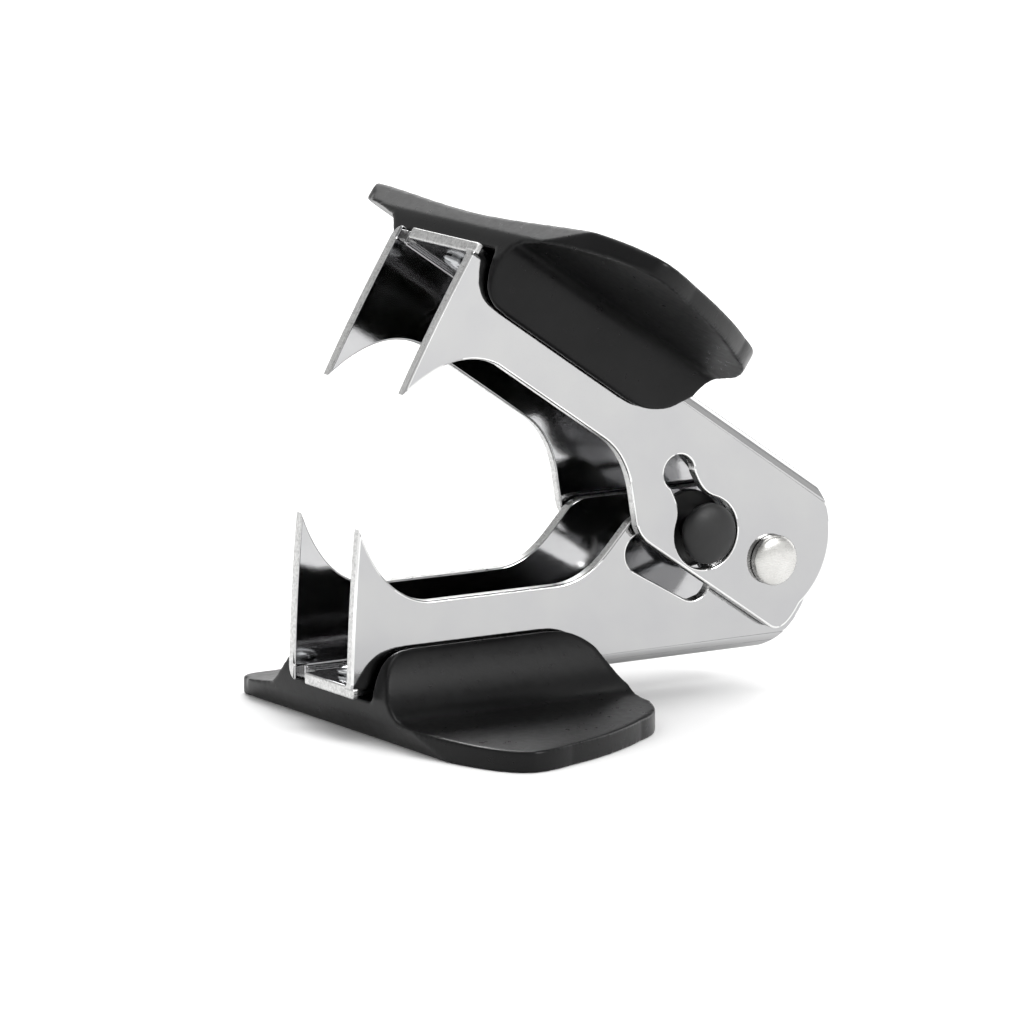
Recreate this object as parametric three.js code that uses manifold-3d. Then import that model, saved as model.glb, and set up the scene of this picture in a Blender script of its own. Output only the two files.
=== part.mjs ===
// Jaw staple remover: two sprung steel jaws on one rivet, plastic finger grips and a sliding lock button.
// Millimetres, +Z up. The origin is under the middle of the object, on the surface that it stands on.
// Each jaw is drawn in its own frame: x runs from the pivot towards the teeth, y from the pivot towards
// the jaw's back (its web), and z across the jaw.
import * as THREE from 'three';
import { mergeVertices } from 'three/addons/utils/BufferGeometryUtils.js';
import Module from 'manifold-3d';

const wasm = await Module();
wasm.setup();

// ---------- driving dimensions ----------
const OPEN_ANGLE = THREE.MathUtils.degToRad(34.65); // between the two jaws' backs, at rest
const STEEL = 1.1; // sheet thickness
const BEND = 1.3; // outer radius of the channel's two bends
const WEB = 8.6; // pivot to the outer face of a jaw's back
const FRONT = 44.5; // pivot to the front of a jaw
const TIP = { x: 43.5, y: -7.0 }; // point of a tooth
const RAIL = 0.35; // height of the straight edge between tooth and cheek
const CHEEK = -5.35; // height of the cheek's edge, beside the pivot
const OUTER_HALF = 7.2; // half the width of the outer (upper) jaw
const INNER_HALF = 5.75; // half the width of the inner (lower) jaw
const TAIL = { x: 2.6, y: 0.8, r: 8.2 }; // centre and radius of a jaw's round rear end

const RIVET_R = 1.9;
const RIVET_CLEAR = 0.1;
const HEAD_R = 2.35;
const HEAD_SIDE = 0.6; // height of the head's side, under its dome
const HEAD_RISE = 0.6;

const KEY_ANGLE = THREE.MathUtils.degToRad(29.0); // direction of the keyhole, from the jaw's x axis
const KEY_HOME = { x: 7.8, y: -1.45 }; // centre of the keyhole's round end
const KEY_R = 3.4;
const KEY_NECK = 1.42; // half width
const KEY_FAR_R = 1.65;
const KEY_FAR = 6.6; // distance from the round end to the small end
const LOCK_TRAVEL = 6.2;
const CLOSE_ANGLE = THREE.MathUtils.degToRad(34.0);
const SHAFT_R = 1.1;
const POCKET_R = 1.9; // half width of the path that the button's shaft follows in the inner jaw
const CAP_R = 2.85;
const RETAINER_R = 3.6;

const WIRE_R = 0.45;
const COIL_R = 2.75;
const COIL_TURNS = 3;
const COIL_PITCH = 1.05;
const LEG_END = { x: 14.0, y: 6.7 }; // where a spring leg ends, in a jaw's frame

const GRIP_BASE = 12.6; // pivot to the grip's flat outer face
const UPPER_SLOT = 7.5; // half the width of the slot that the outer jaw sits in
const LOWER_SLOT = 6.2; // and of the inner jaw's
const NEAR_FLANK = 8.9; // from a grip's middle to the foot of its flank, under the broad wing
const FAR_FLANK = 10.2; // and under the narrow one
const GRIP_TOP = 4.35; // height of the flank's edge
const LOWER_HEEL = 24.0; // rear end of the lower grip's flank edge, from the pivot
const UPPER_HEEL = 22.9; // and of the upper grip's
const WING_LIFT = 0.6; // how far the upper grip's wings bend outwards at their tips
const GRIP_GAP = 0.3; // between the steel and the plastic
const GRIP_RIVETS = [41.0, 24.0]; // distances from the pivot

const PIVOT = new THREE.Vector3(19.0, 2.66, GRIP_BASE); // pivot axis, in the object's frame
const SEGMENTS = 7; // for each curved stretch of an outline

// ---------- materials ----------
const chrome = new THREE.MeshStandardMaterial({ color: 0xd2d3d4, roughness: 0.12, metalness: 1.0 });
const rivetSteel = new THREE.MeshStandardMaterial({ color: 0xd9d8d4, roughness: 0.3, metalness: 1.0 });
const springSteel = new THREE.MeshStandardMaterial({ color: 0x9a9c9f, roughness: 0.25, metalness: 1.0 });
const gripPlastic = new THREE.MeshStandardMaterial({ color: 0x1d1d1e, roughness: 0.42, metalness: 0.0 });
const buttonPlastic = new THREE.MeshStandardMaterial({ color: 0x161617, roughness: 0.6, metalness: 0.0 });

// ---------- solids ----------
function toSolid(geometry) {
  geometry.deleteAttribute('normal');
  geometry.deleteAttribute('uv');
  const merged = mergeVertices(geometry, 1e-5);
  return new wasm.Manifold(new wasm.Mesh({
    numProp: 3,
    vertProperties: merged.attributes.position.array,
    triVerts: new Uint32Array(merged.index.array),
  }));
}

function toMesh(name, solid, material) {
  const { vertProperties, triVerts } = solid.getMesh();
  const geometry = new THREE.BufferGeometry();
  geometry.setAttribute('position', new THREE.BufferAttribute(vertProperties, 3));
  geometry.setIndex(new THREE.BufferAttribute(triVerts, 1));
  geometry.computeVertexNormals();
  const mesh = new THREE.Mesh(geometry, material);
  mesh.name = name;
  return mesh;
}

function extrude(shape, length) {
  return new THREE.ExtrudeGeometry(shape, { depth: length, bevelEnabled: false, curveSegments: SEGMENTS });
}

// an outline in x and y, standing from z = from to z = to
function acrossJaw(shape, from, to) {
  return toSolid(extrude(shape, to - from).translate(0, 0, from));
}

// an outline in z and y, running from x = from to x = to
function alongJaw(shape, from, to) {
  return toSolid(extrude(shape, to - from).rotateY(Math.PI / 2).translate(from, 0, 0));
}

// an outline in x and z, standing from y = from to y = to
function throughBack(shape, from, to) {
  return toSolid(extrude(shape, to - from).rotateX(-Math.PI / 2).translate(0, from, 0));
}

function disc(x, y, radius) {
  const shape = new THREE.Shape();
  shape.absarc(x, y, radius, 0, 2 * Math.PI, false);
  return shape;
}

// a slot with round ends between two points
function slot(start, end, radius) {
  const heading = Math.atan2(end.y - start.y, end.x - start.x);
  const shape = new THREE.Shape();
  shape.absarc(start.x, start.y, radius, heading + Math.PI / 2, heading + 1.5 * Math.PI, false);
  shape.absarc(end.x, end.y, radius, heading - Math.PI / 2, heading + Math.PI / 2, false);
  return shape;
}

function box(low, high) {
  const size = new THREE.Vector3().subVectors(high, low);
  const middle = new THREE.Vector3().addVectors(high, low).multiplyScalar(0.5);
  return toSolid(new THREE.BoxGeometry(size.x, size.y, size.z).translate(middle.x, middle.y, middle.z));
}

// a solid of revolution about its own y axis
function turned(points, segments = 32) {
  return toSolid(new THREE.LatheGeometry(points.map(([r, y]) => new THREE.Vector2(r, y)), segments));
}

// points of a shallow dome from its rim (radius r, height y) to its crown
function dome(r, y, rise, steps = 6) {
  const points = [];
  for (let i = 0; i <= steps; i += 1) {
    const a = (i / steps) * (Math.PI / 2);
    points.push([i === steps ? 0 : r * Math.cos(a), y + rise * Math.sin(a)]);
  }
  return points;
}

// ---------- jaws ----------
// side outline that both jaws share
function jawOutline() {
  const topAngle = Math.PI - Math.asin((WEB - TAIL.y) / TAIL.r);
  const lowAngle = Math.PI + Math.asin((TAIL.y + 1.9) / TAIL.r);
  const shape = new THREE.Shape();
  shape.moveTo(FRONT, WEB);
  shape.absarc(TAIL.x, TAIL.y, TAIL.r, topAngle, lowAngle, false);
  shape.quadraticCurveTo(-5.3, CHEEK, -3.4, CHEEK);
  shape.lineTo(12.6, CHEEK);
  shape.quadraticCurveTo(14.2, CHEEK, 15.0, -4.4);
  shape.lineTo(17.0, -2.3);
  shape.quadraticCurveTo(19.6, RAIL, 22.6, RAIL);
  shape.lineTo(36.3, RAIL);
  shape.quadraticCurveTo(41.2, -0.3, TIP.x, TIP.y);
  shape.quadraticCurveTo(44.3, 0.5, FRONT, WEB);
  return shape;
}

// cross-section of a folded channel
function channelSection(half) {
  const foot = CHEEK - 4;
  const inside = half - STEEL;
  const insideBend = BEND - 0.9;
  const ceiling = WEB - STEEL;
  const shape = new THREE.Shape();
  shape.moveTo(half, foot);
  shape.lineTo(half, WEB - BEND);
  shape.absarc(half - BEND, WEB - BEND, BEND, 0, Math.PI / 2, false);
  shape.absarc(-half + BEND, WEB - BEND, BEND, Math.PI / 2, Math.PI, false);
  shape.lineTo(-half, foot);
  shape.lineTo(-inside, foot);
  shape.absarc(-inside + insideBend, ceiling - insideBend, insideBend, Math.PI, Math.PI / 2, true);
  shape.absarc(inside - insideBend, ceiling - insideBend, insideBend, Math.PI / 2, 0, true);
  shape.lineTo(inside, foot);
  return shape;
}

// far is where the far wall's inner face lies, from the jaw's middle
function jaw(half, far) {
  let solid = acrossJaw(jawOutline(), -half - 1, half + 1).intersect(alongJaw(channelSection(half), -8, FRONT + 2));
  solid = solid.subtract(acrossJaw(disc(0, 0, RIVET_R + RIVET_CLEAR), -half - 1, half + 1));
  const low = new THREE.Vector3(FRONT - 1.2, WEB - STEEL - 0.3, far < 0 ? far : far - 1.8);
  const high = new THREE.Vector3(FRONT + 1, WEB + 1, far < 0 ? far + 1.8 : far);
  solid = solid.subtract(box(low, high)); // relief at the front of the far bend
  for (const x of GRIP_RIVETS) {
    solid = solid.subtract(throughBack(disc(x, 0, 1.05), WEB - 2, WEB + 1));
  }
  return solid;
}

// keyhole: round end, flared neck and small end, along its own x axis
function keyhole() {
  const flare = THREE.MathUtils.degToRad(46);
  const root = { x: KEY_R * Math.cos(flare), y: KEY_R * Math.sin(flare) };
  const neck = new THREE.Shape();
  neck.moveTo(0, -root.y);
  neck.lineTo(root.x, -root.y);
  neck.quadraticCurveTo(root.x + 0.9, -KEY_NECK, KEY_FAR - 1.6, -KEY_NECK);
  neck.lineTo(KEY_FAR, -KEY_NECK);
  neck.lineTo(KEY_FAR, KEY_NECK);
  neck.lineTo(KEY_FAR - 1.6, KEY_NECK);
  neck.quadraticCurveTo(root.x + 0.9, KEY_NECK, root.x, root.y);
  neck.lineTo(0, root.y);
  const depth = [-OUTER_HALF - 1, -OUTER_HALF + STEEL + 0.6];
  return acrossJaw(neck, ...depth)
    .add(acrossJaw(disc(0, 0, KEY_R), ...depth))
    .add(acrossJaw(disc(KEY_FAR, 0, KEY_FAR_R), ...depth))
    .rotate([0, 0, THREE.MathUtils.radToDeg(KEY_ANGLE)])
    .translate([KEY_HOME.x, KEY_HOME.y, 0]);
}

// where a point of the outer jaw is in the inner jaw's frame, when the jaws are open by an angle
function inInnerJaw(point, angle) {
  return {
    x: point.x * Math.cos(angle) - point.y * Math.sin(angle),
    y: -point.x * Math.sin(angle) - point.y * Math.cos(angle),
  };
}

// hooked pocket, open at the cheek, that the button's shaft moves in
function pocket() {
  const locked = {
    x: KEY_HOME.x + LOCK_TRAVEL * Math.cos(KEY_ANGLE),
    y: KEY_HOME.y + LOCK_TRAVEL * Math.sin(KEY_ANGLE),
  };
  const beyond = {
    x: KEY_HOME.x + 1.4 * LOCK_TRAVEL * Math.cos(KEY_ANGLE),
    y: KEY_HOME.y + 1.4 * LOCK_TRAVEL * Math.sin(KEY_ANGLE),
  };
  const shut = OPEN_ANGLE - CLOSE_ANGLE;
  const depth = [INNER_HALF - STEEL - 0.6, INNER_HALF + 1];
  const shutSlot = slot(inInnerJaw(KEY_HOME, shut), inInnerJaw(locked, shut), POCKET_R);
  let solid = acrossJaw(shutSlot, ...depth);
  const openHome = inInnerJaw(KEY_HOME, OPEN_ANGLE);
  const openBeyond = inInnerJaw(beyond, OPEN_ANGLE);
  solid = solid.add(acrossJaw(slot(openHome, openBeyond, POCKET_R), ...depth));
  const asideHome = { x: openHome.x + 1.4, y: openHome.y + 0.7 };
  const asideBeyond = { x: openBeyond.x + 1.4, y: openBeyond.y };
  const widened = slot(asideHome, asideBeyond, POCKET_R);
  solid = solid.add(acrossJaw(widened, ...depth));
  const steps = 6;
  for (let i = 0; i < steps; i += 1) {
    const a = inInnerJaw(KEY_HOME, shut + (CLOSE_ANGLE * i) / steps);
    const b = inInnerJaw(KEY_HOME, shut + (CLOSE_ANGLE * (i + 1)) / steps);
    solid = solid.add(acrossJaw(slot(a, b, POCKET_R), ...depth));
  }
  return solid;
}

// ---------- grips ----------
// cross-section of a grip; its wings bend outwards by lift at their tips, and its middle bends inwards.
// The broad wing is on the side that broad says, 1 or -1.
function gripSection(slotHalf, lift, broad) {
  const rise = (z) => lift * (1 - 1.55 * Math.cos(Math.min(Math.abs(z) / 22, 1) * (Math.PI / 2)) ** 2);
  const slot = slotHalf * broad;
  const near = NEAR_FLANK * broad;
  const far = FAR_FLANK * -broad;
  const tip = 27 * broad;
  const shape = new THREE.Shape();
  shape.moveTo(slot, WEB + GRIP_GAP);
  shape.lineTo(slot, GRIP_TOP);
  shape.lineTo(slot + 0.5 * broad, GRIP_TOP);
  shape.lineTo(slot + 0.8 * broad, 4.7);
  shape.bezierCurveTo(near - 0.3 * broad, 7.2, near + 0.1 * broad, 10.0, near + 2.8 * broad, 10.2);
  shape.quadraticCurveTo(16 * broad, 10.65 + 1.4 * rise(15), tip, 10.65 + 1.4 * rise(27));
  for (let i = 6; i >= -6; i -= 1) {
    shape.lineTo(4.5 * i * broad, GRIP_BASE + rise(4.5 * i));
  }
  shape.lineTo(-tip, 11.3 + rise(27));
  shape.quadraticCurveTo(-16 * broad, 10.75 + rise(15), far - 2.8 * broad, 10.2);
  shape.bezierCurveTo(far - 0.1 * broad, 10.0, far + 0.3 * broad, 7.2, -slot - 0.8 * broad, 4.7);
  shape.lineTo(-slot - 0.5 * broad, GRIP_TOP);
  shape.lineTo(-slot, GRIP_TOP);
  shape.lineTo(-slot, WEB + GRIP_GAP);
  return shape;
}

// side outline of a grip; its flank's edge ends at heel
function gripSide(heel) {
  const shape = new THREE.Shape();
  shape.moveTo(40.6, GRIP_BASE + 2);
  shape.lineTo(42.6, 10.7);
  shape.quadraticCurveTo(43.0, 9.4, 42.6, 7.9);
  shape.bezierCurveTo(42.0, 5.4, 41.0, GRIP_TOP, 38.6, GRIP_TOP);
  shape.lineTo(heel, GRIP_TOP);
  shape.quadraticCurveTo(heel - 2.6, GRIP_TOP, heel - 4.4, 6.1);
  shape.lineTo(heel - 5.9, 8.5);
  shape.quadraticCurveTo(heel - 7.1, 10.4, heel - 8.5, 10.6);
  shape.lineTo(13.6, 10.6);
  shape.lineTo(13.6, GRIP_BASE + 2);
  return shape;
}

// outline of a grip's plate: a broad wing on one side, a narrow one on the other; broad is 1 or -1
function gripPlan(broad) {
  const shape = new THREE.Shape();
  shape.moveTo(45, -12 * broad);
  shape.lineTo(45, 10 * broad);
  shape.lineTo(43.2, 11.5 * broad);
  shape.bezierCurveTo(41.4, 18.0 * broad, 40.6, 25.8 * broad, 36.6, 25.75 * broad);
  shape.quadraticCurveTo(35.0, 25.7 * broad, 32.8, 24.7 * broad);
  shape.quadraticCurveTo(26.9, 22.9 * broad, 22.0, 19.2 * broad);
  shape.quadraticCurveTo(18.6, 17.4 * broad, 17.4, 13.6 * broad);
  shape.lineTo(17.3, 6.0 * broad);
  shape.lineTo(16.2, 4.6 * broad);
  shape.lineTo(16.2, -4.6 * broad);
  shape.lineTo(17.3, -6.0 * broad);
  shape.lineTo(17.4, -13.6 * broad);
  shape.quadraticCurveTo(18.2, -17.0 * broad, 21.6, -18.6 * broad);
  shape.quadraticCurveTo(26.0, -20.7 * broad, 31.0, -20.4 * broad);
  shape.lineTo(39.8, -20.0 * broad);
  shape.quadraticCurveTo(41.8, -19.9 * broad, 42.0, -17.8 * broad);
  return shape;
}

function grip(slotHalf, lift, heel, broad) {
  let solid = alongJaw(gripSection(slotHalf, lift, broad), 10, 50)
    .intersect(acrossJaw(gripSide(heel), -30, 30))
    .intersect(throughBack(gripPlan(broad), 0, 20));
  for (const x of GRIP_RIVETS) {
    solid = solid.subtract(throughBack(disc(x, 0, 1.05), WEB, 10.9));
  }
  return solid;
}

// rivet through a jaw's back into its grip, turned about the jaw's y axis
function gripRivet() {
  const seat = WEB - STEEL - 0.12;
  const crown = dome(1.45, 0, 0.7).map(([r, rise]) => [r, seat - rise]).reverse();
  return turned([...crown, [0.9, seat], [0.9, 10.6], [0, 10.6]], 16);
}

// ---------- pivot, spring and lock ----------
function pivotRivet() {
  const near = dome(HEAD_R, 0, HEAD_RISE).map(([r, rise]) => [r, -OUTER_HALF - HEAD_SIDE - rise]).reverse();
  const seat = OUTER_HALF + RIVET_CLEAR;
  return turned([...near, [HEAD_R, -seat], [RIVET_R, -seat], [RIVET_R, seat], [2.3, seat], ...dome(2.3, seat + 0.25, 0.6)]);
}

// centre line of the torsion spring: leg, coil and leg, in the object's directions about the pivot
class SpringLine extends THREE.Curve {
  constructor() {
    super();
    const reach = Math.hypot(LEG_END.x, LEG_END.y);
    const swing = Math.acos(COIL_R / reach);
    const lift = Math.atan2(LEG_END.y, LEG_END.x);
    this.start = Math.PI + lift + swing;
    this.end = Math.PI - OPEN_ANGLE - lift - swing + 2 * Math.PI * (COIL_TURNS + 1);
    this.leg = Math.sqrt(reach * reach - COIL_R * COIL_R);
    this.coil = COIL_R * (this.end - this.start);
    this.half = (COIL_PITCH * (this.end - this.start)) / (4 * Math.PI);
  }

  getPoint(t, target = new THREE.Vector3()) {
    const s = t * (2 * this.leg + this.coil);
    const turn = THREE.MathUtils.clamp((s - this.leg) / this.coil, 0, 1);
    const angle = this.start + turn * (this.end - this.start);
    const y = -this.half + 2 * this.half * turn;
    target.set(COIL_R * Math.cos(angle), y, COIL_R * Math.sin(angle));
    const over = s < this.leg ? s - this.leg : Math.max(0, s - this.leg - this.coil);
    target.x -= over * Math.sin(angle);
    target.z += over * Math.cos(angle);
    return target;
  }
}

function torsionSpring() {
  const section = new THREE.Shape();
  section.absarc(0, 0, WIRE_R, 0, 2 * Math.PI, false);
  const wire = new THREE.ExtrudeGeometry(section, { steps: 96, curveSegments: 4, extrudePath: new SpringLine() });
  return toSolid(wire);
}

// the button and its retainer, turned about their own y axis, which points out of the jaw's near side
function lockButton() {
  const seat = OUTER_HALF + 0.12;
  return turned([[0, 3.6], [SHAFT_R, 3.6], [SHAFT_R, seat], [CAP_R - 0.15, seat], [CAP_R, seat + 0.15], ...dome(CAP_R, seat + 0.4, 0.85)], 28);
}

function lockRetainer() {
  const back = INNER_HALF - STEEL - 0.2;
  const front = back - 0.8;
  const bore = SHAFT_R + 0.1;
  return turned([[bore, front], [RETAINER_R - 0.2, front], [RETAINER_R, front + 0.2], [RETAINER_R, back], [bore, back], [bore, front]], 28);
}

// ---------- assembly ----------
function jawFrame(forward, back, across) {
  const frame = new THREE.Group();
  frame.position.copy(PIVOT);
  frame.quaternion.setFromRotationMatrix(new THREE.Matrix4().makeBasis(forward, back, across));
  return frame;
}

const c = Math.cos(OPEN_ANGLE);
const s = Math.sin(OPEN_ANGLE);
const lower = jawFrame(new THREE.Vector3(-1, 0, 0), new THREE.Vector3(0, 0, -1), new THREE.Vector3(0, -1, 0));
const upper = jawFrame(new THREE.Vector3(-c, 0, s), new THREE.Vector3(s, 0, c), new THREE.Vector3(0, 1, 0));

lower.add(toMesh('lower_jaw', jaw(INNER_HALF, STEEL - INNER_HALF).subtract(pocket()), chrome));
upper.add(toMesh('upper_jaw', jaw(OUTER_HALF, OUTER_HALF - STEEL).subtract(keyhole()), chrome));
for (const [frame, name, slotHalf, lift, heel, broad] of [
  [lower, 'lower', LOWER_SLOT, 0, LOWER_HEEL, -1],
  [upper, 'upper', UPPER_SLOT, WING_LIFT, UPPER_HEEL, 1],
]) {
  frame.add(toMesh(`${name}_grip`, grip(slotHalf, lift, heel, broad), gripPlastic));
  GRIP_RIVETS.forEach((x, i) => {
    const rivet = toMesh(`${name}_grip_rivet_${i === 0 ? 'front' : 'rear'}`, gripRivet(), rivetSteel);
    rivet.position.x = x;
    frame.add(rivet);
  });
}

const pivot = new THREE.Group();
pivot.position.copy(PIVOT);
pivot.add(toMesh('pivot_rivet', pivotRivet(), rivetSteel));
pivot.add(toMesh('torsion_spring', torsionSpring(), springSteel));

const lock = new THREE.Group();
lock.position.set(KEY_HOME.x, KEY_HOME.y, 0);
lock.rotation.x = -Math.PI / 2;
lock.add(toMesh('lock_button', lockButton(), buttonPlastic));
lock.add(toMesh('lock_button_retainer', lockRetainer(), buttonPlastic));
upper.add(lock);

const group = new THREE.Group();
group.add(lower, upper, pivot);
export default group;
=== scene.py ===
import math

import bmesh
import bpy
from mathutils import Matrix, Vector


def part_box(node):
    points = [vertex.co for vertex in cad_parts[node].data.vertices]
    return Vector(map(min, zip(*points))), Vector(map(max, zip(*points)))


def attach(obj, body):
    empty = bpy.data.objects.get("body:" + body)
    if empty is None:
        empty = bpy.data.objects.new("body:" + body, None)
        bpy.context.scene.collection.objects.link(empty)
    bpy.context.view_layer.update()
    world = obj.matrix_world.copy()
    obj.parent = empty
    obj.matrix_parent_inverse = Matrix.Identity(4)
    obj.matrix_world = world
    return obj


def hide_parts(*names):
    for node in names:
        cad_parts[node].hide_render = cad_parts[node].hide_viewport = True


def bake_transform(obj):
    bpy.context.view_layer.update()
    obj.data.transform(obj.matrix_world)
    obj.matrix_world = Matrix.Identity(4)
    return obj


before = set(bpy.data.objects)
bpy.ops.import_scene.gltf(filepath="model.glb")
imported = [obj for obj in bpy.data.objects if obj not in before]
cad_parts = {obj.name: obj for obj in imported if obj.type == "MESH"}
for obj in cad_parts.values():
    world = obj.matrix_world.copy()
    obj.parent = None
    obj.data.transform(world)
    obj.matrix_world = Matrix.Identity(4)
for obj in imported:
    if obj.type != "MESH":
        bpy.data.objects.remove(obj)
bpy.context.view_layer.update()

# Shapes are drawn in millimetres in a jaw's own frame: x from the pivot to the teeth, y from the pivot to
# the jaw's back, z across the jaw. They are turned into the row frame and metres at the end.
MM = 0.001

# jaws
OPEN = math.radians(34.65)  # between the two jaws' backs, at rest
STEEL = 1.1  # sheet thickness
WEB = 8.6  # pivot to the outer face of a jaw's back
FRONT = 44.5  # pivot to the front of a jaw
BEND, INNER_BEND = 1.3, 0.4  # radii of the channel's two bends
TIP = (43.5, -7.0)  # point of a tooth
OUTER, INNER = 7.2, 5.75  # half the width of the upper and the lower jaw
RAIL, CHEEK = 0.35, -5.35  # heights of the edges between tooth and cheek, and beside the pivot
TAIL = (2.6, 0.8, 8.2)  # centre and radius of the round rear end
BORE = 2.0  # radius of the pivot's hole
NOTCH_DEPTH, NOTCH_WIDTH = 1.2, 1.8  # relief at the front of the far bend
LIP_DEPTH, LIP_WIDTH = 0.8, 1.5  # square front corner of the near bend

# lock
KEY_ANGLE = math.radians(29.0)  # direction of the keyhole, from the jaw's x axis
KEY_HOME = (7.8, -1.45)  # centre of the keyhole's round end
TRAVEL = 6.2  # how far the button slides
CLOSING = math.radians(34.0)  # how far the jaws close
POCKET_RADIUS = 1.9  # half the width of the shaft's path in the inner jaw

# grips
BASE = 12.6  # pivot to a grip's flat outer face
GRIP_TOP = 4.35  # height of the flanks' edge
LOWER_SLOT, UPPER_SLOT = 6.2, 7.5  # half the width of the slot that each jaw sits in
LOWER_HEEL, UPPER_HEEL = 24.0, 22.9  # rear end of the flanks' edge, from the pivot
WING_LIFT = 0.6  # how far the upper grip's wings bend outwards at their tips
NEAR_FLANK, FAR_FLANK = 8.9, 10.2  # from a grip's middle to the foot of each flank
GRIP_RIVETS = (("front", 41.0), ("rear", 24.0))  # distances from the pivot
GRAIN, ROUNDING = 0.15, 14  # remesh size of the mouldings, and how often it is smoothed

# spring
WIRE_RADIUS, COIL_RADIUS, COIL_PITCH, COIL_TURNS = 0.45, 2.75, 1.05, 3
LEG_END = (14.0, 6.7)  # where a leg ends, in a jaw's frame

low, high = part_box("pivot_rivet")
side_low, side_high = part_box("upper_jaw")
PIVOT = Vector(((low[0] + high[0]) / 2, (side_low[1] + side_high[1]) / 2, (low[2] + high[2]) / 2))
C, S = math.cos(OPEN), math.sin(OPEN)


def basis(forward, back, across):
    turn = Matrix((forward, back, across)).transposed().to_4x4()
    return Matrix.Translation(PIVOT) @ turn @ Matrix.Scale(MM, 4)


LOWER = basis((-1, 0, 0), (0, 0, -1), (0, -1, 0))
UPPER = basis((-C, 0, S), (S, 0, C), (0, 1, 0))
MIDDLE = basis((1, 0, 0), (0, 1, 0), (0, 0, 1))


# ---------- outlines ----------
def arc(cx, cy, r, start, end, steps=24):
    turns = [start + (end - start) * i / steps for i in range(steps + 1)]
    return [(cx + r * math.cos(turn), cy + r * math.sin(turn)) for turn in turns]


def curve(*p, steps=16):
    """points of a Bezier curve through three or four control points, without its first point"""
    points = []
    for i in range(1, steps + 1):
        q = list(p)
        t = i / steps
        while len(q) > 1:
            q = [tuple(a + (b - a) * t for a, b in zip(u, v)) for u, v in zip(q, q[1:])]
        points.append(q[0])
    return points


def jaw_outline():
    top = math.pi - math.asin((WEB - TAIL[1]) / TAIL[2])
    bottom = math.pi + math.asin((TAIL[1] + 1.9) / TAIL[2])
    points = [(FRONT, WEB)]
    points += arc(*TAIL, top, bottom, 40)
    points += curve(points[-1], (-5.3, CHEEK), (-3.4, CHEEK), steps=12)
    points += [(12.6, CHEEK)]
    points += curve(points[-1], (14.2, CHEEK), (15.0, -4.4), steps=8)
    points += [(17.0, -2.3)]
    points += curve(points[-1], (19.6, RAIL), (22.6, RAIL), steps=14)
    points += [(36.3, RAIL)]
    points += curve(points[-1], (41.2, -0.3), TIP, steps=20)
    points += curve(points[-1], (44.3, 0.5), (FRONT, WEB), steps=12)[:-1]
    return points


def channel_outline(half):
    inside, ceiling = half - STEEL, WEB - STEEL
    points = [(half, -10)]
    points += arc(half - BEND, WEB - BEND, BEND, 0, math.pi / 2, 12)
    points += arc(-half + BEND, WEB - BEND, BEND, math.pi / 2, math.pi, 12)
    points += [(-half, -10), (-inside, -10)]
    points += arc(-inside + INNER_BEND, ceiling - INNER_BEND, INNER_BEND, math.pi, math.pi / 2, 6)
    points += arc(inside - INNER_BEND, ceiling - INNER_BEND, INNER_BEND, math.pi / 2, 0, 6)
    points += [(inside, -10)]
    return points


# ---------- meshes ----------
def new_object(name, mesh):
    obj = bpy.data.objects.new(name, mesh)
    bpy.context.scene.collection.objects.link(obj)
    return obj


def prism(points, start, end, place):
    """the outline swept from start to end; place turns (a, b, sweep) into (x, y, z)"""
    bm = bmesh.new()
    near = [bm.verts.new(place(a, b, start)) for a, b in points]
    far = [bm.verts.new(place(a, b, end)) for a, b in points]
    n = len(points)
    bm.faces.new(near)
    bm.faces.new(far)
    for i in range(n):
        bm.faces.new((near[i], near[(i + 1) % n], far[(i + 1) % n], far[i]))
    bmesh.ops.recalc_face_normals(bm, faces=bm.faces)
    mesh = bpy.data.meshes.new("prism")
    bm.to_mesh(mesh)
    bm.free()
    return new_object("prism", mesh)


def across(points, start, end):
    return prism(points, start, end, lambda a, b, t: (a, b, t))


def along(points, start, end):
    return prism(points, start, end, lambda a, b, t: (t, b, a))


def through(points, start, end):
    return prism(points, start, end, lambda a, b, t: (a, t, b))


def apply(obj, kind, **settings):
    modifier = obj.modifiers.new(kind.lower(), kind)
    for key, value in settings.items():
        setattr(modifier, key, value)
    graph = bpy.context.evaluated_depsgraph_get()
    mesh = bpy.data.meshes.new_from_object(obj.evaluated_get(graph))
    obj.modifiers.clear()
    obj.data = mesh
    return obj


def combine(obj, other, operation):
    apply(obj, "BOOLEAN", object=other, operation=operation, solver="EXACT")
    bpy.data.objects.remove(other)
    return obj


def soften(obj, width, segments=3, angle=32):
    apply(obj, "DECIMATE", decimate_type="DISSOLVE", angle_limit=math.radians(0.4))
    apply(
        obj, "BEVEL", width=width, segments=segments, limit_method="ANGLE", angle_limit=math.radians(angle),
        miter_outer="MITER_ARC", use_clamp_overlap=False, harden_normals=False,
    )
    # normals weighted by area keep the flat walls flat beside their bevels
    obj.data.shade_smooth()
    obj.data.set_sharp_from_angle(angle=math.radians(50))
    apply(obj, "WEIGHTED_NORMAL", keep_sharp=True, weight=100, mode="FACE_AREA")
    return obj


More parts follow.
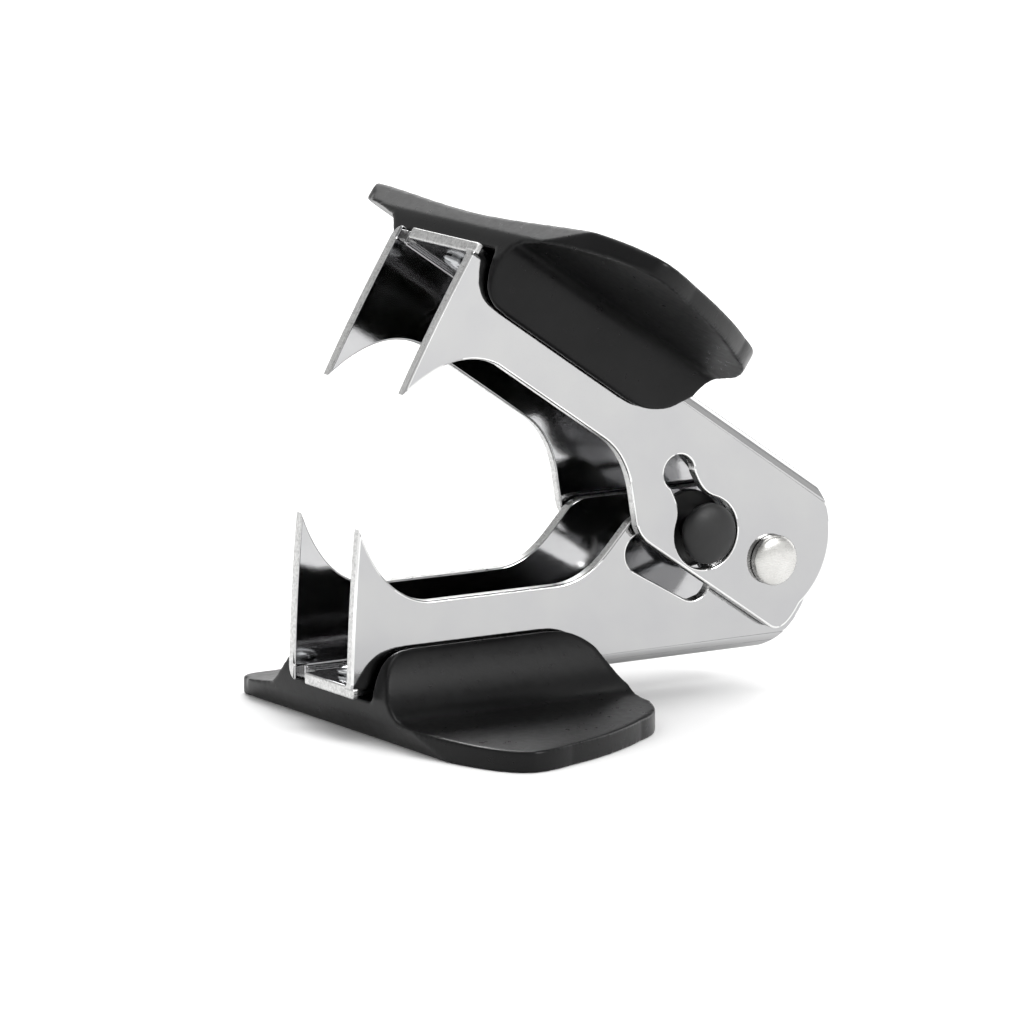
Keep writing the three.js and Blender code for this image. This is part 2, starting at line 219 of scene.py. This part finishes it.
def lathe(profile, steps=96):
    """a solid of revolution about the z axis; profile is (radius, z) from axis to axis"""
    bm = bmesh.new()
    rings = []
    for r, z in profile:
        if r < 1e-6:
            rings.append([bm.verts.new((0, 0, z))])
        else:
            turns = [2 * math.pi * i / steps for i in range(steps)]
            rings.append([bm.verts.new((r * math.cos(t), r * math.sin(t), z)) for t in turns])
    for a, b in zip(rings, rings[1:]):
        for i in range(steps):
            j = (i + 1) % steps
            if len(a) == 1:
                bm.faces.new((a[0], b[i], b[j]))
            elif len(b) == 1:
                bm.faces.new((a[i], a[j], b[0]))
            else:
                bm.faces.new((a[i], a[j], b[j], b[i]))
    if len(rings[0]) > 1 and profile[0] == profile[-1]:
        bmesh.ops.remove_doubles(bm, verts=bm.verts, dist=1e-5)
    bmesh.ops.recalc_face_normals(bm, faces=bm.faces)
    mesh = bpy.data.meshes.new("lathe")
    bm.to_mesh(mesh)
    bm.free()
    return new_object("lathe", mesh)


def tube(points, radius, sides=20):
    bm = bmesh.new()
    normal = None
    rings = []
    for i, point in enumerate(points):
        ahead = points[min(i + 1, len(points) - 1)] - points[max(i - 1, 0)]
        ahead.normalize()
        if normal is None:
            normal = ahead.orthogonal().normalized()
        normal = (normal - ahead * normal.dot(ahead)).normalized()
        side = ahead.cross(normal)
        turns = [2 * math.pi * k / sides for k in range(sides)]
        ring = [point + (normal * math.cos(t) + side * math.sin(t)) * radius for t in turns]
        rings.append([bm.verts.new(place) for place in ring])
    for a, b in zip(rings, rings[1:]):
        for k in range(sides):
            bm.faces.new((a[k], a[(k + 1) % sides], b[(k + 1) % sides], b[k]))
    bm.faces.new(rings[0])
    bm.faces.new(rings[-1])
    bmesh.ops.recalc_face_normals(bm, faces=bm.faces)
    mesh = bpy.data.meshes.new("tube")
    bm.to_mesh(mesh)
    bm.free()
    return new_object("tube", mesh)


def piece(obj, name, matrix, material, slot, body, *nodes, smooth=35, more=()):
    obj.name = name
    obj.data.transform(matrix)
    if matrix.determinant() < 0:
        obj.data.flip_normals()
    indices = [face.material_index for face in obj.data.polygons]
    obj.data.materials.clear()
    for each in (material, *more):
        obj.data.materials.append(each)
    obj.data.polygons.foreach_set("material_index", indices)
    if smooth is not None:
        obj.data.shade_smooth()
    if smooth:
        obj.data.set_sharp_from_angle(angle=math.radians(smooth))
    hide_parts(*nodes)
    if body:
        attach(obj, body)
    return obj


# ---------- materials ----------
class Nodes:
    def __init__(self, name):
        self.material = bpy.data.materials.new(name)
        self.material.use_nodes = True
        self.tree = self.material.node_tree
        self.shader = self.tree.nodes["Principled BSDF"]
        self.place = self.add("ShaderNodeTexCoord").outputs["Object"]

    def add(self, kind, **settings):
        node = self.tree.nodes.new(kind)
        for key, value in settings.items():
            setattr(node, key, value)
        return node

    def link(self, a, b):
        self.tree.links.new(a, b)

    def noise(self, scale, detail=3.0, stretch=None, rough=0.5):
        node = self.add("ShaderNodeTexNoise")
        node.inputs["Scale"].default_value = scale
        node.inputs["Detail"].default_value = detail
        node.inputs["Roughness"].default_value = rough
        source = self.place
        if stretch:
            mapping = self.add("ShaderNodeMapping")
            mapping.inputs["Scale"].default_value = stretch
            self.link(source, mapping.inputs["Vector"])
            source = mapping.outputs["Vector"]
        self.link(source, node.inputs["Vector"])
        return node.outputs["Fac"]

    def ramp(self, value, low, high, a=0.35, b=0.65):
        node = self.add("ShaderNodeMapRange")
        node.inputs["From Min"].default_value = a
        node.inputs["From Max"].default_value = b
        node.inputs["To Min"].default_value = low
        node.inputs["To Max"].default_value = high
        self.link(value, node.inputs["Value"])
        return node.outputs["Result"]

    def mix(self, factor, a, b):
        node = self.add("ShaderNodeMix", data_type="RGBA")
        node.inputs["A"].default_value = (*a, 1)
        node.inputs["B"].default_value = (*b, 1)
        self.link(factor, node.inputs["Factor"])
        return node.outputs["Result"]

    def bump(self, height, strength, distance, after=None):
        node = self.add("ShaderNodeBump")
        node.inputs["Strength"].default_value = strength
        node.inputs["Distance"].default_value = distance
        self.link(height, node.inputs["Height"])
        if after:
            self.link(after, node.inputs["Normal"])
        return node.outputs["Normal"]


def plated(name, dark, light, rough, grain=0.25, mottle=170):
    n = Nodes(name)
    n.shader.inputs["Metallic"].default_value = 1.0
    blotch = n.noise(mottle, 4)
    n.link(n.mix(n.ramp(blotch, 0, 1), dark, light), n.shader.inputs["Base Color"])
    streak = n.noise(900, 3, (1, 1, 6))
    n.link(n.ramp(streak, rough[0], rough[1], 0.3, 0.7), n.shader.inputs["Roughness"])
    wave = n.bump(n.noise(330, 2), 0.04, 0.0002)
    n.link(n.bump(n.noise(5200, 2, (1, 1, 3)), grain, 0.000004, wave), n.shader.inputs["Normal"])
    return n.material


def moulded(name, dark, light, rough, specks, sheen):
    n = Nodes(name)
    shade = n.ramp(n.noise(240, 5), 0, 1, 0.3, 0.75)
    n.link(n.mix(shade, dark, light), n.shader.inputs["Base Color"])
    n.link(n.ramp(n.noise(1300, 5), rough[0], rough[1], 0.3, 0.7), n.shader.inputs["Roughness"])
    n.shader.inputs["IOR"].default_value = 1.4
    n.shader.inputs["Specular IOR Level"].default_value = sheen
    n.link(n.bump(n.noise(specks, 3), 0.25, 0.00002), n.shader.inputs["Normal"])
    return n.material


cut_edge = plated("cut_edge", (0.46, 0.46, 0.455), (0.64, 0.64, 0.635), (0.22, 0.42), 0.7, 3400)
# painted highlight: a much lighter plating on the bevels along the outer faces, standing in for the light
# that their rounded edges catch
painted_highlight_edge = plated("painted_highlight_edge", (0.66, 0.66, 0.655), (0.84, 0.84, 0.835), (0.12, 0.25), 0.4)
# painted shade: the channel's inside has its own copy of the chrome, tuned for where it lies in shade; the
# plating is the same inside and out
inside = plated("shaded_inside_chrome", (0.36, 0.36, 0.365), (0.42, 0.42, 0.425), (0.06, 0.1))
chrome = plated("chrome", (0.355, 0.355, 0.36), (0.375, 0.375, 0.375), (0.05, 0.08))
pearly = plated("pearly_nickel", (0.44, 0.436, 0.42), (0.58, 0.575, 0.56), (0.22, 0.34), 0.6)
wire = plated("drawn_wire", (0.42, 0.43, 0.44), (0.55, 0.56, 0.57), (0.14, 0.24))
grip_shades = ((0.003, 0.003, 0.0032), (0.006, 0.006, 0.0062))
button_shades = ((0.003, 0.003, 0.0033), (0.006, 0.006, 0.0063))
grip_black = moulded("grip_plastic", *grip_shades, (0.27, 0.35), 3600, 0.24)
button_black = moulded("button_plastic", *button_shades, (0.38, 0.5), 5200, 0.55)


# ---------- jaws ----------
def jaw(half, far):
    """a folded channel; far is where the far wall's inner face lies, from the jaw's middle"""
    solid = across(jaw_outline(), -half - 1, half + 1)
    combine(solid, along(channel_outline(half), -9, FRONT + 3), "INTERSECT")
    bore = arc(0, 0, BORE, 0, 2 * math.pi * 47 / 48, 47)
    combine(solid, across(bore, -half - 2, half + 2), "DIFFERENCE")
    a, b = (far, far + NOTCH_WIDTH) if far < 0 else (far - NOTCH_WIDTH, far)
    notch = [(FRONT - NOTCH_DEPTH, a), (FRONT + 1, a), (FRONT + 1, b), (FRONT - NOTCH_DEPTH, b)]
    combine(solid, through(notch, WEB - STEEL - 0.3, WEB + 1), "DIFFERENCE")
    return solid


def lip(half, near):
    """the square front corner of a jaw's back, on the side near (1 or -1)"""
    a, b = sorted((near * (half - LIP_WIDTH), near * (half + 0.05)))
    corner = [(FRONT - LIP_DEPTH, a), (FRONT + 0.03, a), (FRONT + 0.03, b), (FRONT - LIP_DEPTH, b)]
    return soften(through(corner, WEB - STEEL + 0.1, WEB + 0.02), 0.25)


def key_outline():
    """keyhole: a round end, a flared neck and a small end"""
    flare = math.radians(46)
    r, neck, far_r, far = 3.4, 1.42, 1.65, 6.6
    root = (r * math.cos(flare), r * math.sin(flare))
    join = far - math.sqrt(far_r**2 - neck**2)
    side = curve(root, (root[0] + 0.9, neck), (far - 1.6, neck), steps=12)
    top = [root] + side + [(join, neck)]
    turn = math.atan2(neck, join - far)
    points = top + arc(far, 0, far_r, turn, -turn, 26)[1:-1]
    points += [(x, -y) for x, y in reversed(top)]
    points += arc(0, 0, r, -flare, -2 * math.pi + flare, 44)[1:-1]
    return [key_point(x, y) for x, y in points]


def key_point(along_key, beside_key=0):
    """a point of the outer jaw, from its distances along and beside the keyhole's line"""
    ca, sa = math.cos(KEY_ANGLE), math.sin(KEY_ANGLE)
    x = KEY_HOME[0] + along_key * ca - beside_key * sa
    return (x, KEY_HOME[1] + along_key * sa + beside_key * ca)


def slot_outline(start, end, radius):
    """a slot with round ends between two points"""
    heading = math.atan2(end[1] - start[1], end[0] - start[0])
    points = arc(*start, radius, heading + math.pi / 2, heading + 1.5 * math.pi, 20)
    return points + arc(*end, radius, heading - math.pi / 2, heading + math.pi / 2, 20)


def in_inner(point, angle):
    """where a point of the outer jaw is in the inner jaw's frame, when the jaws are open by an angle"""
    x, y = point
    return (x * math.cos(angle) - y * math.sin(angle), -x * math.sin(angle) - y * math.cos(angle))


def pocket(solid):
    """cut the hooked pocket, open at the cheek, that the button's shaft moves in"""
    shut = OPEN - CLOSING
    home, out = in_inner(KEY_HOME, OPEN), in_inner(key_point(1.4 * TRAVEL), OPEN)
    sweeps = [(in_inner(KEY_HOME, shut), in_inner(key_point(TRAVEL), shut)), (home, out)]
    sweeps += [((home[0] + 1.4, home[1] + 0.7), (out[0] + 1.4, out[1]))]
    steps = 10
    turns = [shut + CLOSING * i / steps for i in range(steps + 1)]
    sweeps += [(in_inner(KEY_HOME, turn), in_inner(KEY_HOME, after)) for turn, after in zip(turns, turns[1:])]
    for i, (start, end) in enumerate(sweeps):
        # each cutter is a little different in depth, so that no two faces coincide
        cutter = across(slot_outline(start, end, POCKET_RADIUS), INNER - 2 - 0.03 * i, INNER + 1 + 0.03 * i)
        combine(solid, cutter, "DIFFERENCE")
    return solid


def assign_finish_and_painted_light(obj, half):
    """material slot of each face: 0 rolled outside, 1 cut edge, 2 inside of the channel (painted shade), 3
    bevel with a painted highlight
    """
    for face in obj.data.polygons:
        y, z = face.center.y, face.center.z
        normal = face.normal
        middle = sorted(abs(v) for v in normal)[1]
        in_back = y > WEB - STEEL - 0.05 and abs(z) < half
        in_wall = abs(z) < half - STEEL + 0.05 and abs(normal.z) > 0.6
        in_ceiling = 6.5 < y < WEB - STEEL + 0.45 and normal.y < -0.6 and abs(z) < half - STEEL
        # the channel's inside takes the painted-shade copy of the chrome
        if in_wall or in_ceiling and abs(normal.x) <= 0.5:
            face.material_index = 2
        elif abs(normal.z) < 0.2 and (not in_back or abs(normal.x) > 0.6):
            face.material_index = 1
        # bevels beside the outer faces take the painted highlight, the others the cut edge
        elif middle > 0.2 and face.area < 2 and y < WEB - BEND - 0.05:
            face.material_index = 3 if abs(z) > half - 0.35 else 1


def lower_channel():
    return pocket(jaw(INNER, STEEL - INNER))


def upper_channel():
    keyhole = across(key_outline(), -OUTER - 1, -OUTER + 2)
    return combine(jaw(OUTER, OUTER - STEEL), keyhole, "DIFFERENCE")


# each jaw's near side is where its keyhole or pocket is: 1 or -1 along z
for channel, name, half, near, matrix, body in (
    (lower_channel, "lower_jaw", INNER, 1, LOWER, "inner_jaw"),
    (upper_channel, "upper_jaw", OUTER, -1, UPPER, "outer_jaw"),
):
    solid = soften(channel(), 0.2, 3)
    assign_finish_and_painted_light(solid, half)
    # the cut edge, the painted-shade copy for the inside and the painted-highlight bevels
    finish_and_painted_light = (cut_edge, inside, painted_highlight_edge)
    piece(solid, name + "_steel", matrix, chrome, "chrome_steel", body, name, smooth=None, more=finish_and_painted_light)
    piece(lip(half, near), name + "_lip", matrix, cut_edge, "chrome_steel", body, name, smooth=None)


# ---------- grips ----------
def grip_section(slot, lift, broad):
    """cross-section; the wings bend outwards by lift, the middle inwards; broad is the broad wing's side"""

    def rise(z):
        return lift * (1 - 1.55 * math.cos(min(abs(z) / 22, 1) * math.pi / 2) ** 2)

    def wing(foot, under, tip, bend):
        points = [(slot, WEB + 0.3), (slot, GRIP_TOP), (slot + 0.5, GRIP_TOP), (slot + 0.8, 4.7)]
        points += curve(points[-1], (foot - 0.3, 7.2), (foot + 0.1, 10.0), (foot + 2.8, 10.2), steps=48)
        wing_end = (27, tip + bend * rise(27))
        return points + curve(points[-1], (16, under + bend * rise(15)), wing_end, steps=28)

    broad_wing = wing(NEAR_FLANK, 10.65, 10.65, 1.4)
    narrow_wing = wing(FAR_FLANK, 10.75, 11.3, 1)
    face = [(27 - 0.75 * i, BASE + rise(27 - 0.75 * i)) for i in range(73)]
    points = broad_wing + face + [(-z, y) for z, y in reversed(narrow_wing)]
    return [(z * broad, y) for z, y in points]


def grip_side(heel):
    """side outline; the flanks' edge ends at heel"""
    points = [(40.6, BASE + 2), (42.6, 10.7)]
    points += curve(points[-1], (43.0, 9.4), (42.6, 7.9), steps=24)
    points += curve(points[-1], (42.0, 5.4), (41.0, GRIP_TOP), (38.6, GRIP_TOP), steps=28)
    points += [(heel, GRIP_TOP)]
    points += curve(points[-1], (heel - 2.6, GRIP_TOP), (heel - 4.4, 6.1), steps=24)
    points += [(heel - 5.9, 8.5)]
    points += curve(points[-1], (heel - 7.1, 10.4), (heel - 8.5, 10.6), steps=24)
    return points + [(13.6, 10.6), (13.6, BASE + 2)]


def grip_plan(broad):
    """outline of the plate: a broad wing on one side, a narrow one on the other"""
    points = [(45, -12), (45, 10), (43.2, 11.5)]
    points += curve(points[-1], (41.4, 18.0), (40.6, 25.8), (36.6, 25.75), steps=44)
    points += curve(points[-1], (35.0, 25.7), (32.8, 24.7), steps=24)
    points += curve(points[-1], (26.9, 22.9), (22.0, 19.2), steps=24)
    points += curve(points[-1], (18.6, 17.4), (17.4, 13.6), steps=24)
    points += [(17.3, 6.0), (16.2, 4.6), (16.2, -4.6), (17.3, -6.0), (17.4, -13.6)]
    points += curve(points[-1], (18.2, -17.0), (21.6, -18.6), steps=24)
    points += curve(points[-1], (26.0, -20.7), (31.0, -20.4), steps=24) + [(39.8, -20.0)]
    points += curve(points[-1], (41.8, -19.9), (42.0, -17.8), steps=24)
    return [(x, z * broad) for x, z in points]


def grip(name, matrix, body, slot, lift, heel, broad):
    solid = along(grip_section(slot, lift, broad), 10, 50)
    combine(solid, across(grip_side(heel), -30, 30), "INTERSECT")
    combine(solid, through(grip_plan(broad), 0, 20), "INTERSECT")
    # a fine remesh, smoothed, rounds every edge
    apply(solid, "REMESH", mode="VOXEL", voxel_size=GRAIN, adaptivity=0.0)
    apply(solid, "SMOOTH", factor=0.5, iterations=ROUNDING)
    return piece(solid, name + "_moulding", matrix, grip_black, "black_grip", body, name, smooth=0)


grip("lower_grip", LOWER, "inner_jaw", LOWER_SLOT, 0, LOWER_HEEL, 1)
grip("upper_grip", UPPER, "outer_jaw", UPPER_SLOT, WING_LIFT, UPPER_HEEL, -1)


# ---------- rivets, spring and lock ----------
def dome(r, z, rise, way, steps=16):
    """(radius, z) from a rim to its crown"""
    turns = [math.pi / 2 * i / steps for i in range(steps)]
    return [(r * math.cos(turn), z + way * rise * math.sin(turn)) for turn in turns] + [(0, z + way * rise)]


def pivot_rivet():
    near = dome(2.35, -OUTER - 0.6, 0.6, -1)[::-1]
    seat = OUTER + 0.1
    near += [(2.35, -seat - 0.05), (2.3, -seat)]
    shank = [(1.9, -seat), (1.9, seat)]
    far = [(2.25, seat), (2.3, seat + 0.05)] + dome(2.3, seat + 0.25, 0.6, 1)
    return lathe(near + shank + far)


rivet_place = basis((1, 0, 0), (0, 0, -1), (0, 1, 0))
piece(pivot_rivet(), "pivot_rivet_turned", rivet_place, pearly, "rivet_steel", "inner_jaw", "pivot_rivet")


def grip_rivet(x):
    seat = WEB - STEEL - 0.12
    profile = dome(1.45, seat - 0.15, 0.55, -1)[::-1]
    profile += [(1.42, seat), (0.9, seat), (0.9, 10.5), (0.85, 10.55), (0, 10.55)]
    obj = lathe(profile, 48)
    obj.data.transform(Matrix(((1, 0, 0, x), (0, 0, 1, 0), (0, -1, 0, 0), (0, 0, 0, 1))))
    return obj


for which, matrix, body in (("lower", LOWER, "inner_jaw"), ("upper", UPPER, "outer_jaw")):
    for end, x in GRIP_RIVETS:
        node = f"{which}_grip_rivet_{end}"
        piece(grip_rivet(x), node + "_turned", matrix, wire, "rivet_steel", body, node)


def spring_points(steps=420):
    """centre line of the torsion spring: a leg, the coil and a leg"""
    reach, lift = math.hypot(*LEG_END), math.atan2(LEG_END[1], LEG_END[0])
    swing = math.acos(COIL_RADIUS / reach)
    start = math.pi + lift + swing
    end = math.pi - OPEN - lift - swing + 2 * math.pi * (COIL_TURNS + 1)
    leg = math.sqrt(reach**2 - COIL_RADIUS**2)
    coil = COIL_RADIUS * (end - start)
    half = COIL_PITCH * (end - start) / (4 * math.pi)
    points = []
    for i in range(steps + 1):
        s = i / steps * (2 * leg + coil)
        turn = min(max((s - leg) / coil, 0), 1)
        angle = start + turn * (end - start)
        over = s - leg if s < leg else max(0, s - leg - coil)
        x = COIL_RADIUS * math.cos(angle) - over * math.sin(angle)
        z = COIL_RADIUS * math.sin(angle) + over * math.cos(angle)
        points.append(Vector((x, -half + 2 * half * turn, z)))
    return points


spring = tube(spring_points(), WIRE_RADIUS)
piece(spring, "torsion_spring_wire", MIDDLE, wire, "spring_steel", None, "torsion_spring", smooth=60)
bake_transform(spring)


def button_cap():
    seat = OUTER + 0.12
    shaft = [(0, 3.6), (1.05, 3.6), (1.1, 3.65), (1.1, seat)]
    rim = [(2.7, seat), (2.82, seat + 0.05), (2.85, seat + 0.15)]
    return lathe(shaft + rim + dome(2.85, seat + 0.4, 0.85, 1))


def button_disc():
    back = INNER - STEEL - 0.2
    front = back - 0.8
    profile = [(1.2, front), (3.4, front), (3.55, front + 0.06), (3.6, front + 0.2)]
    profile += [(3.6, back - 0.1), (3.5, back), (1.2, back)]
    return lathe(profile + profile[:1])


lock_place = UPPER @ Matrix(((1, 0, 0, KEY_HOME[0]), (0, 1, 0, KEY_HOME[1]), (0, 0, -1, 0), (0, 0, 0, 1)))
for solid, name, node in (
    (button_cap(), "lock_button_cap", "lock_button"),
    (button_disc(), "lock_button_disc", "lock_button_retainer"),
):
    piece(solid, name, lock_place, button_black, "black_button", "lock", node)


# ---------- stage ----------
def surface(name, colour, rough):
    n = Nodes(name)
    darker = tuple(0.985 * v for v in colour)
    n.link(n.mix(n.ramp(n.noise(9, 3), 0, 1), colour, darker), n.shader.inputs["Base Color"])
    n.shader.inputs["Roughness"].default_value = rough
    return n.material


bpy.ops.mesh.primitive_plane_add(size=6, location=(0, 0, -0.00002))
floor = bpy.context.active_object
floor.name = "floor"
floor.data.materials.append(surface("pale_floor", (0.93, 0.93, 0.93), 0.7))

world = bpy.data.worlds.new("studio")
bpy.context.scene.world = world
world.use_nodes = True
tree = world.node_tree
background = tree.nodes["Background"]
background.inputs["Strength"].default_value = 1.0
coordinate = tree.nodes.new("ShaderNodeTexCoord")
split = tree.nodes.new("ShaderNodeSeparateXYZ")
bands = tree.nodes.new("ShaderNodeValToRGB")
# a bright horizon and a bright ceiling, with a darker room between them
stops = ((0.1, 1.0), (0.3, 1.0), (0.42, 0.5), (0.72, 0.5), (0.88, 1.4))
while len(bands.color_ramp.elements) < len(stops):
    bands.color_ramp.elements.new(0.5)
for element, (place, value) in zip(bands.color_ramp.elements, stops):
    element.position = place
    element.color = (value, value, value, 1)
tree.links.new(coordinate.outputs["Generated"], split.inputs["Vector"])
tree.links.new(split.outputs["Z"], bands.inputs["Fac"])
tree.links.new(bands.outputs["Color"], background.inputs["Color"])


def light(name, place, size, power, target=(0, 0, 0.02)):
    data = bpy.data.lights.new(name, "AREA")
    data.shape = "RECTANGLE"
    data.size, data.size_y = size
    data.energy = power
    obj = bpy.data.objects.new(name, data)
    obj.location = place
    obj.rotation_euler = (Vector(target) - Vector(place)).to_track_quat("-Z", "Y").to_euler()
    bpy.context.scene.collection.objects.link(obj)


light("key_softbox", (0.26, -0.66, 0.37), (0.2, 0.2), 3.0)
light("top_softbox", (0.1, 0.1, 0.8), (0.6, 0.6), 3.0)
light("side_softbox", (0.75, 0.12, 0.32), (0.5, 0.5), 1.8)
light("back_softbox", (0.42, 0.66, 0.5), (0.6, 0.26), 2.0)


# ---------- camera ----------
azimuth, elevation, distance = math.radians(-33.10), math.radians(10.58), 0.761
level = math.cos(elevation)
away = Vector((math.sin(azimuth) * level, -math.cos(azimuth) * level, math.sin(elevation)))
right = Vector((math.cos(azimuth), math.sin(azimuth), 0))
up = away.cross(right)
data = bpy.data.cameras.new("camera")
data.lens = 285.6
data.sensor_width = 36
data.clip_start, data.clip_end = 0.01, 20
camera = bpy.data.objects.new("camera", data)
bpy.context.scene.collection.objects.link(camera)
place = PIVOT + away * distance
aim = PIVOT + right * -20.37 * MM + up * 3.31 * MM
out = (place - aim).normalized()
side = up.cross(out).normalized()
turn = Matrix((side, out.cross(side), out)).transposed().to_4x4()
camera.matrix_world = Matrix.Translation(place) @ turn
bpy.context.scene.camera = camera
bpy.context.scene.view_settings.view_transform = "Standard"
